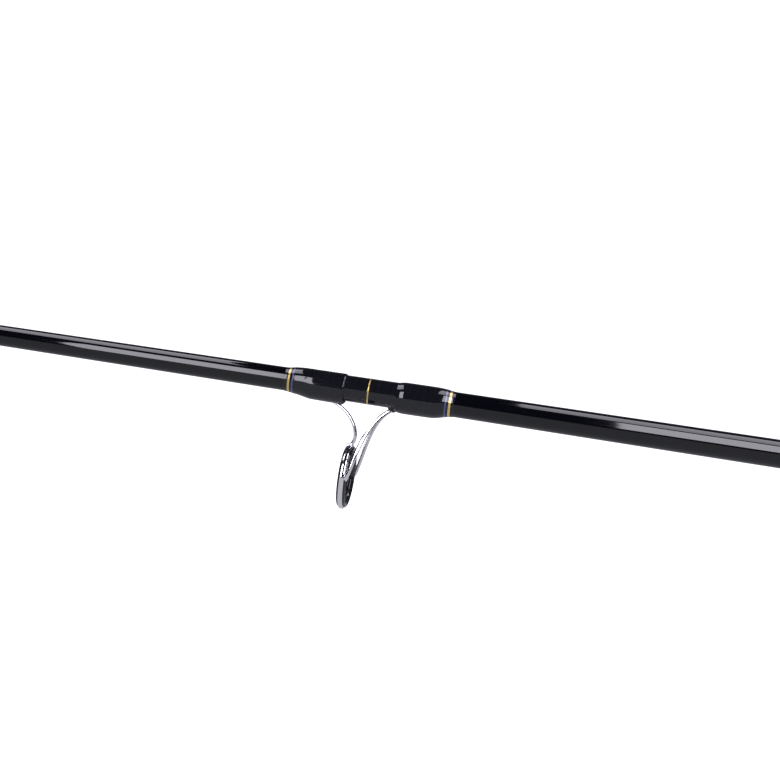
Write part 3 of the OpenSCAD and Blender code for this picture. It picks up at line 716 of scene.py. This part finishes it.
@dataclass
class Guide:
    """One double-foot guide: its ring, its legs and feet, and the wraps that hold it."""

    number: int
    at: float
    ring_d: float
    stand: float = 1.16
    band_wall: float = 1.2
    band_share: float = 0.5
    lip: float = 0.35
    foot_thick: float = 1.3
    foot_half_breadth: float = 2.1
    layer_full: float = 1.05
    bulge_full: float = 1.65
    bulge_shift: float = 1.1
    bulge_blend: float = 0.8
    trim_width: tuple[float, float] = (1.15, 0.85)
    trim_inset: tuple[float, float] = (2.2, 4.2)
    thread_at: float = 5.4
    thread_half: float = 0.36
    bar_corners: int = 24
    foot_corners: int = 20
    wrap_corners: int = 64
    wrap_stations: int = 48

    @property
    def k(self) -> float:
        """Size of the ring against the first guide's."""
        return self.ring_d / RING_D[0]

    @property
    def f(self) -> float:
        """Size of the feet against the first guide's."""
        return math.sqrt(self.k)

    @property
    def drop(self) -> float:
        """Depth of the ring's centre under the rod's axis."""
        return BLANK.radius(self.at) + self.stand * self.ring_d

    @property
    def half(self) -> float:
        """Half the thickness of the ceramic ring."""
        return 2.3 * mix(1, self.k, 0.6)

    @property
    def coat(self) -> float:
        """Thickness of the resin between the two wraps."""
        return 0.45 * self.f

    @property
    def body(self) -> str:
        """The body that carries this guide."""
        return "butt_section" if self.number == 1 else "tip_section"

    def point(self, s: float, y: float, z: float) -> Vector:
        """Place in metres from s towards the butt, y across and z above the rod's axis."""
        return Vector((-self.at + s, y, z)) * MM

    def build(self, bench: Bench) -> None:
        """Builds, dresses and rides every piece of the guide.

        Args:
            bench: Holds the materials.
        """
        name = f"guide_{self.number}"
        for piece, node, slot in (
                (self._ceramic(name + "_insert"), name + "_ring", "ring_ceramic"),
                (self._metalwork(name + "_metalwork"), name + "_frame", "guide_steel"),
                (self._wraps(name + "_windings"), name + "_wraps", "wrap_resin")):
            bench.dress(piece, slot)
            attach(piece, self.body)
            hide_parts(node)
        for slot, bands in (("gold_thread", (0, 2)), ("blue_thread", (1,))):
            pieces = [p for band in bands for p in self._trims(band)]
            piece = join(f"{name}_{slot}", pieces)
            bench.dress(piece, slot)
            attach(piece, self.body)

    def _ceramic(self, name: str) -> bpy.types.Object:
        """Turns the polished ceramic insert.

        Args:
            name: The insert's name.

        Returns:
            The insert.
        """
        outer = self.ring_d / 2 - self.band_wall - 0.02
        inner = outer - min(2.6, self.ring_d * 0.08)
        half, lip = self.half, outer + self.lip
        band = half * self.band_share + 0.02
        side = [(band, outer), (band, lip), (half * 0.9, lip - 0.3), (half, outer - 0.7),
                (half * 0.75, inner + 0.6), (half * 0.3, inner)]
        profile = [(-a, r) for a, r in side] + [(a, r) for a, r in reversed(side)]
        profile.append((-band, outer))
        return revolve(name, in_metres(rounded(profile, 0.5)),
                       self.point(0, 0, -self.drop), steps=FINE_STEPS)

    def _bar(self, name: str, route: Callable[[float], Vector], width: Profile, sheet: Profile,
             edge: float, steps: int = 36) -> bpy.types.Object:
        """Lofts a flat bar with rounded edges along a curve.

        Args:
            name: The bar's name.
            route: Gives the middle of the bar at a share of its length, as (s, y, z).
            width: Table of (share of the route, width in the side view).
            sheet: Table of (share of the route, thickness across).
            edge: Roundness of the section, from 0, square, to 1, an ellipse.
            steps: Number of stations.

        Returns:
            The bar.
        """
        rings = []
        for number in range(steps + 1):
            t = number / steps
            place = route(t)
            along = (route(min(1, t + 0.01)) - route(max(0, t - 0.01))).normalized()
            across = Vector((-along.z, 0, along.x)).normalized()
            aside = along.cross(across)
            ring = []
            for corner in range(self.bar_corners):
                angle = math.tau * corner / self.bar_corners
                u = squarish(math.cos(angle), edge) * glide(width, t) / 2
                v = squarish(math.sin(angle), edge) * glide(sheet, t) / 2
                spot = place + across * u + aside * v
                ring.append(self.point(spot.x, spot.y, spot.z))
            rings.append(ring)
        return loft(name, rings)

    def _leg_route(self, side: int) -> Callable[[float], Vector]:
        """Middle line of a rear leg, which spreads fast under its foot and then runs to the ring.

        Args:
            side: 1 or -1, for the leg at +Y or -Y.

        Returns:
            Gives the place of the middle line, as (s, y, z), at a share of its length.
        """
        k = self.k
        start = BLANK.radius(self.at) + 0.8 * self.f
        height = self.drop - start
        line = (Vector((18.6 * k, 0, 0)), Vector((4.5 * k, 0, -7.8 * k)),
                Vector((max(5 * k, 1.6 * self.half), 0, -31 * k)),
                Vector((0.6 * self.half, 0, -height)))

        def route(t: float) -> Vector:
            """Place on the middle line.

            Args:
                t: Share of the line's length.

            Returns:
                The place, as (s, y, z).
            """
            spot = curve_point(line, t)
            spread = (self.ring_d / 2 - 0.5) * (1 - max(0.0, 1 + spot.z / height) ** 2.6)
            return Vector((spot.x, side * spread, spot.z - start))

        return route

    def _metalwork(self, name: str) -> bpy.types.Object:
        """Builds the ring's band, its three legs and its two feet as one bent piece.

        Args:
            name: The piece's name.

        Returns:
            The piece.
        """
        k, f = self.k, self.f
        surface = BLANK.radius(self.at)
        ring_top = self.drop - self.ring_d / 2
        thin = max(0.9, 1.3 * k)
        w = self.half * self.band_share
        outer = self.ring_d / 2
        inner = outer - self.band_wall
        hoop = rounded([(-w, inner), (-w, outer), (w, outer), (w, inner)], 0.5) + [(-w, inner)]
        band = revolve(name, in_metres(hoop), self.point(0, 0, -self.drop), steps=FINE_STEPS)
        bend = (Vector((-11.6 * k, 0, -surface - 0.8 * f - 0.9 * k)),
                Vector((1.8 * k, 0, -surface - 6.1 * k)),
                Vector((4.7 * k, 0, -ring_top - 0.5 * k)), Vector((-2 * k, 0, -ring_top - 0.5)))
        front = self._bar(name, lambda t: curve_point(bend, t),
                          [(0, thin), (0.3, thin * 1.15), (0.8, thin * 1.35), (1, thin)],
                          [(0, 4.2 * k), (0.25, 3.6 * k), (0.9, 3.2 * k), (1, 4.0 * k)], 0.7)
        blade = 2.1 * mix(1, k, 0.7)
        legs = [self._bar(name, self._leg_route(side),
                          [(0, blade), (0.5, blade), (0.85, blade * 0.95), (1, blade * 1.25)],
                          [(0, thin * 1.3), (0.1, thin), (0.9, thin), (1, thin * 0.8)], 1.0)
                for side in (-1, 1)]
        feet = [self._foot(name, -8 * k, -8 * k - 20 * f),
                self._foot(name, 18 * k, 18 * k + 22 * f)]
        return join(name, [band, front, *legs, *feet])

    def _foot(self, name: str, leg: float, end: float) -> bpy.types.Object:
        """Lofts one flat foot that thins towards its end.

        Args:
            name: The foot's name.
            leg: Where the leg leaves it, along s.
            end: Its thin end, along s.

        Returns:
            The foot.
        """
        rings = []
        thick = self.foot_thick * self.f
        sink = 0.15
        for share, height, breadth in ((-0.06, 0.35, 0.7), (0, 0.75, 0.92), (0.04, 0.95, 1.0),
                                       (0.5, 0.8, 1.0), (0.9, 0.42, 0.8), (1, 0.25, 0.45)):
            s = mix(leg, end, share)
            surface = BLANK.radius(self.at - s)
            ring = []
            for corner in range(self.foot_corners):
                angle = math.tau * corner / self.foot_corners
                y = squarish(math.cos(angle), 0.5) * self.foot_half_breadth * self.f * breadth
                z = (-surface - thick * height / 2 + sink
                     + squarish(math.sin(angle), 0.5) * (thick * height / 2 + sink))
                ring.append(self.point(s, y, z))
            rings.append(ring)
        return loft(name, rings)

    def wrap_span(self, tip_side: bool) -> tuple[float, float]:
        """Inner and outer end of a wrap along s.

        Args:
            tip_side: Whether it is the wrap on the tip's side.

        Returns:
            The inner and the outer end.
        """
        if tip_side:
            return -6.7 * self.k, -6.7 * self.k - 29.9 * self.f
        return 19.2 * self.k, 19.2 * self.k + 28.6 * self.f

    def _layer(self, reach: float, length: float, tip_side: bool) -> float:
        """Height of thread and resin over the blank, all round.

        Args:
            reach: Distance from the wrap's outer end.
            length: The wrap's length.
            tip_side: Whether it is the wrap on the tip's side.

        Returns:
            The height.
        """
        full = self.layer_full * self.f
        end, low = (0.4, 0.82) if tip_side else (4.2, 0.42)
        return glide([(0, 0.02), (1, full * 0.08), (2.5, full * 0.3), (4.5, full * 0.65),
                      (6.5, full * 0.84), (10, full), (length - end, full),
                      (length, full * low)], reach)

    def _bulge(self, reach: float, length: float, tip_side: bool) -> float:
        """Height of the resin that covers the foot, under the rod.

        Args:
            reach: Distance from the wrap's outer end.
            length: The wrap's length.
            tip_side: Whether it is the wrap on the tip's side.

        Returns:
            The height, which is negative where the blank hides it.
        """
        full = self.bulge_full * self.f
        if tip_side:
            height = glide([(0, -0.9), (5.5, -0.4), (9.5, full * 0.5), (14, full * 0.93),
                            (length - 0.4, full), (length, full * 0.84)], reach)
        else:
            height = glide([(0, -0.9), (3.5, -0.3), (7, full * 0.55), (11, full * 0.94),
                            (length - 4, full * 1.04), (length - 1.5, full * 0.9),
                            (length, full * 0.64)], reach)
        return height - 0.45 * self.f

    def _section(self, s: float, layer: float, bulge: float) -> list[Vector]:
        """Outline of a wrap across the rod: a round layer blended into a round bulge under it.

        Args:
            s: Where the outline lies.
            layer: Height of the layer over the blank.
            bulge: Height of the bulge over the blank, before it is shifted down.

        Returns:
            The outline's points.
        """
        r0 = BLANK.radius(self.at - s)
        shift = self.bulge_shift * self.f
        blend = self.bulge_blend * self.f
        low = r0 + bulge
        outline = []
        for number in range(self.wrap_corners):
            angle = math.tau * number / self.wrap_corners
            down = math.cos(angle)
            side = math.sin(angle)
            under = shift * down + math.sqrt(max(0.01, low * low - (shift * side) ** 2))
            over = r0 + layer
            share = max(0.0, blend - abs(under - over)) / blend
            radius = max(under, over) + share * share * blend / 4
            outline.append(self.point(s, radius * side, -radius * down))
        return outline

    def _wraps(self, name: str) -> bpy.types.Object:
        """Builds both wraps, the drops of resin at the feet and the thin coat in between.

        Args:
            name: The piece's name.

        Returns:
            The piece.
        """
        pieces = []
        sunk = (-0.25, -1.5)
        for tip_side in (False, True):
            inner, outer = self.wrap_span(tip_side)
            length = abs(outer - inner)
            rings = [self._section(inner, *sunk)]
            for number in range(self.wrap_stations + 1):
                reach = length * (1 + math.cos(math.pi * number / self.wrap_stations)) / 2
                s = outer - math.copysign(reach, outer - inner)
                rings.append(self._section(s, self._layer(reach, length, tip_side),
                                           self._bulge(reach, length, tip_side)))
            rings.append(self._section(outer, *sunk))
            pieces.append(loft(name, rings))
        a, b = self.wrap_span(True)[0], self.wrap_span(False)[0]
        drop = rounded([(0, 0), (0.6, 1.5), (2.2, 2.4), (3.6, 2.1), (4.9, 1.1), (5.4, 0)], 2.0)
        for s, way in ((a - 4.2 * self.k, 1), (b + 1.4 * self.k, -1)):
            low = self.point(s, 0, -BLANK.radius(self.at) - 0.3 * self.f)
            pieces.append(revolve(name, [(x * self.k * MM, r * self.k * MM) for x, r in drop],
                                  low, Vector((way, 0, 0)), steps=32))
        profile = [(self.at - s, BLANK.radius(self.at - s) + self.coat)
                   for s in (b + 0.5, 0.0, a - 0.5)]
        pieces.append(revolve(name, in_metres(profile), steps=72))
        return join(name, pieces)

    def _trims(self, band: int) -> list[bpy.types.Object]:
        """Builds bands of coloured thread.

        Args:
            band: 0 and 1 are the outer and inner bands at the wraps' far ends, and 2 is the
                thin band between the wraps.

        Returns:
            The bands.
        """
        if band == 2:
            middle, half = self.at - self.thread_at * self.k, self.thread_half
            height = self.coat + 0.06
            profile = [(middle + side * half, BLANK.radius(middle) + height - sunk)
                       for side, sunk in ((-1, 0.3), (-0.9, 0.0), (0.9, 0.0), (1, 0.3))]
            return [revolve("trim", in_metres(profile), steps=72)]
        pieces = []
        half = self.trim_width[band] * mix(1, self.f, 0.5) / 2
        inset = self.trim_inset[band] * self.f
        for tip_side in (False, True):
            inner, outer = self.wrap_span(tip_side)
            length = abs(outer - inner)
            rings = []
            for share, proud in ((-1, -0.3), (-0.94, 0.03), (0, 0.06), (0.94, 0.03), (1, -0.3)):
                reach = inset + share * half
                s = outer - math.copysign(reach, outer - inner)
                rings.append(self._section(s, self._layer(reach, length, tip_side) + proud,
                                           self._bulge(reach, length, tip_side) + proud))
            pieces.append(loft("trim", rings))
        return pieces


class Handle:
    """Grips, caps and checks turned about the rod."""

    @staticmethod
    def build(bench: Bench) -> None:
        """Builds the turned pieces of the handle.

        Args:
            bench: Holds the materials.
        """
        n = BLANK
        turned = (
            ("butt_cap", "butt_cap_rubber", "black_rubber", 1.2,
             [(0, 0), (0, 10), (0.7, 12.6), (2.4, 14.2), (5, 15), (28, 15), (28, n.radius(28))]),
            ("rear_grip", "rear_grip_foam", "grip_foam", 1.0,
             [(28.02, n.radius(28)), (28.02, 15), (236, 15), (268, 13.4), (288, 13.4), (316, 14.4),
              (324, 13.6), (324, n.radius(324))]),
            ("rear_check", "rear_check_ring", "gold_anodised", 0.6,
             [(324.02, n.radius(324)), (324.02, 13.2), (329.98, 13.2), (329.98, n.radius(330))]),
            ("fore_grip", "fore_grip_foam", "grip_foam", 1.0,
             [(482.02, n.radius(482)), (482.02, 13.5), (486, 14.5), (502, 14), (528, 12),
              (544, 10.6), (548, 9.8), (548, n.radius(548))]),
            ("front_check", "front_check_ring", "gold_anodised", 0.6,
             [(548.02, n.radius(548)), (548.02, 9.8), (551, 9.8), (556, 7.6),
              (556, n.radius(556))]),
        )
        for node, name, slot, corner, profile in turned:
            piece = revolve(name, in_metres(rounded(profile, corner, 6)), steps=FINE_STEPS)
            bench.dress(piece, slot)
            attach(piece, "butt_section")
            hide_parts(node)


# ---------------------------------------------------------------- studio


@dataclass(frozen=True)
class Eye:
    """The camera's place and lens."""

    azimuth: float = 7.0
    elevation: float = 3.0
    roll: float = 8.27
    lens: float = 75.5
    distance: float = 0.800
    target: tuple[float, float, float] = (-0.7848, 0.0, 0.00228)

    def build(self) -> bpy.types.Object:
        """Makes the camera and makes it the scene's own.

        Returns:
            The camera.
        """
        data = bpy.data.cameras.new("camera")
        data.lens = self.lens
        data.sensor_width = 36
        data.clip_start = 0.01
        data.clip_end = 100
        camera = bpy.data.objects.new("camera", data)
        bpy.context.scene.collection.objects.link(camera)
        a, e = math.radians(self.azimuth), math.radians(self.elevation)
        back = Vector((math.sin(a) * math.cos(e), -math.cos(a) * math.cos(e), math.sin(e)))
        camera.location = Vector(self.target) + back * self.distance
        turn = (-back).to_track_quat("-Z", "Y") @ Quaternion((0, 0, 1), math.radians(self.roll))
        camera.rotation_mode = "QUATERNION"
        camera.rotation_quaternion = turn
        bpy.context.scene.camera = camera
        return camera


class Studio:
    """Pale floor, soft lights and a surround that reflections see dark."""

    def build(self, low: Vector) -> None:
        """Builds floor, surround and lights.

        Args:
            low: Lowest corner of the object.
        """
        self._floor(low.z - 0.004)
        self._surround()
        self._softbox("front_box_left", (-1.215, -1.09, 0.50), (-1.215, 0, 0), (0.29, 0.98), 8.0)
        self._softbox("front_box_right", (-0.295, -0.95, 0.74), (-0.295, 0, 0), (0.73, 1.14), 8.2)
        self._softbox("top_box_left", (-1.54, 0.04, 1.20), (-1.54, 0.04, 0), (0.80, 0.98), 4.4)
        self._softbox("top_box_right", (-0.34, 0.04, 1.20), (-0.34, 0.04, 0), (0.88, 0.90), 4.2)

    @staticmethod
    def _floor(height: float) -> None:
        """Adds the floor, which keeps a soft shadow and stays pale.

        Args:
            height: Where it lies.
        """
        deselect()
        bpy.ops.mesh.primitive_circle_add(vertices=96, radius=40, fill_type="NGON",
                                          location=(0, 0, height))
        floor = bpy.context.object
        floor.name = "studio_floor"
        material = bpy.data.materials.new("Mat_floor")
        material.use_nodes = True
        tree = material.node_tree
        shader = tree.nodes["Principled BSDF"]
        shader.inputs["Base Color"].default_value = (0.80, 0.80, 0.81, 1)
        shader.inputs["Roughness"].default_value = 0.9
        glow = tree.nodes.new("ShaderNodeEmission")
        glow.inputs["Color"].default_value = (0.93, 0.94, 1.0, 1)
        path = tree.nodes.new("ShaderNodeLightPath")
        strength = tree.nodes.new("ShaderNodeMapRange")
        strength.inputs["To Min"].default_value = 0.54
        strength.inputs["To Max"].default_value = 1.1
        tree.links.new(path.outputs["Is Camera Ray"], strength.inputs["Value"])
        tree.links.new(strength.outputs["Result"], glow.inputs["Strength"])
        add = tree.nodes.new("ShaderNodeAddShader")
        mixer = tree.nodes.new("ShaderNodeMixShader")
        tree.links.new(path.outputs["Is Glossy Ray"], mixer.inputs["Fac"])
        tree.links.new(shader.outputs["BSDF"], add.inputs[0])
        tree.links.new(glow.outputs["Emission"], add.inputs[1])
        tree.links.new(add.outputs["Shader"], mixer.inputs[1])
        tree.links.new(glow.outputs["Emission"], mixer.inputs[2])
        tree.links.new(mixer.outputs["Shader"], tree.nodes["Material Output"].inputs["Surface"])
        floor.data.materials.append(material)
        floor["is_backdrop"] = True

    @staticmethod
    def _surround() -> None:
        """Makes the surround pale for the eye, dim in reflections and soft as light."""
        world = bpy.data.worlds.new("surround")
        bpy.context.scene.world = world
        world.use_nodes = True
        tree = world.node_tree
        out = tree.nodes["World Output"]
        dim = tree.nodes["Background"]
        dim.inputs["Color"].default_value = (0.85, 0.88, 1.0, 1)
        heading = tree.nodes.new("ShaderNodeTexCoord")
        parts = tree.nodes.new("ShaderNodeSeparateXYZ")
        behind = tree.nodes.new("ShaderNodeMapRange")
        behind.inputs["From Min"].default_value = 0.5
        behind.inputs["To Min"].default_value = 0.012
        behind.inputs["To Max"].default_value = 0.16
        tree.links.new(heading.outputs["Generated"], parts.inputs["Vector"])
        tree.links.new(parts.outputs["Y"], behind.inputs["Value"])
        tree.links.new(behind.outputs["Result"], dim.inputs["Strength"])
        pale = tree.nodes.new("ShaderNodeBackground")
        pale.inputs["Color"].default_value = (1, 1, 1, 1)
        pale.inputs["Strength"].default_value = 1.05
        soft = tree.nodes.new("ShaderNodeBackground")
        soft.inputs["Strength"].default_value = 0.35
        path = tree.nodes.new("ShaderNodeLightPath")
        seen = tree.nodes.new("ShaderNodeMixShader")
        lit = tree.nodes.new("ShaderNodeMixShader")
        tree.links.new(path.outputs["Is Diffuse Ray"], lit.inputs["Fac"])
        tree.links.new(dim.outputs["Background"], lit.inputs[1])
        tree.links.new(soft.outputs["Background"], lit.inputs[2])
        tree.links.new(path.outputs["Is Camera Ray"], seen.inputs["Fac"])
        tree.links.new(lit.outputs["Shader"], seen.inputs[1])
        tree.links.new(pale.outputs["Background"], seen.inputs[2])
        tree.links.new(seen.outputs["Shader"], out.inputs["Surface"])

    @staticmethod
    def _softbox(name: str, place: Sequence[float], towards: Sequence[float],
                 size: tuple[float, float], radiance: float) -> None:
        """Adds one rectangular soft light that faces a point.

        Args:
            name: The light's name.
            place: Its centre.
            towards: The point that it faces.
            size: Its sides.
            radiance: How bright its face is.
        """
        data = bpy.data.lights.new(name, "AREA")
        data.shape = "RECTANGLE"
        data.size, data.size_y = size
        data.energy = radiance * math.pi * size[0] * size[1]
        data.color = (0.93, 0.91, 1.0)
        lamp = bpy.data.objects.new(name, data)
        bpy.context.scene.collection.objects.link(lamp)
        lamp.location = place
        lamp.visible_camera = False
        facing = Vector(towards) - Vector(place)
        lamp.rotation_mode = "QUATERNION"
        lamp.rotation_quaternion = facing.to_track_quat("-Z", "Y")


def main() -> None:
    """Builds the camera, the studio, the finishes and every piece in order."""
    logging.basicConfig(level=logging.INFO, format="%(name)s: %(message)s")
    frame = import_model()
    cad_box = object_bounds()
    bpy.context.scene.view_settings.view_transform = "Standard"
    Eye().build()
    Studio().build(cad_box[0])
    bench = Bench()
    bench.dress_cad(frame["nodes"])
    BLANK.build(bench)
    for number, (at, ring_d) in enumerate(zip(GUIDE_AT, RING_D), start=1):
        Guide(number, at, ring_d).build(bench)
    Handle.build(bench)
    for number, section in ((1, "butt"), (2, "tip")):
        for colour in ("gold", "blue"):
            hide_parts(f"{section}_{colour}_trims")


if __name__ == "__main__":
    main()
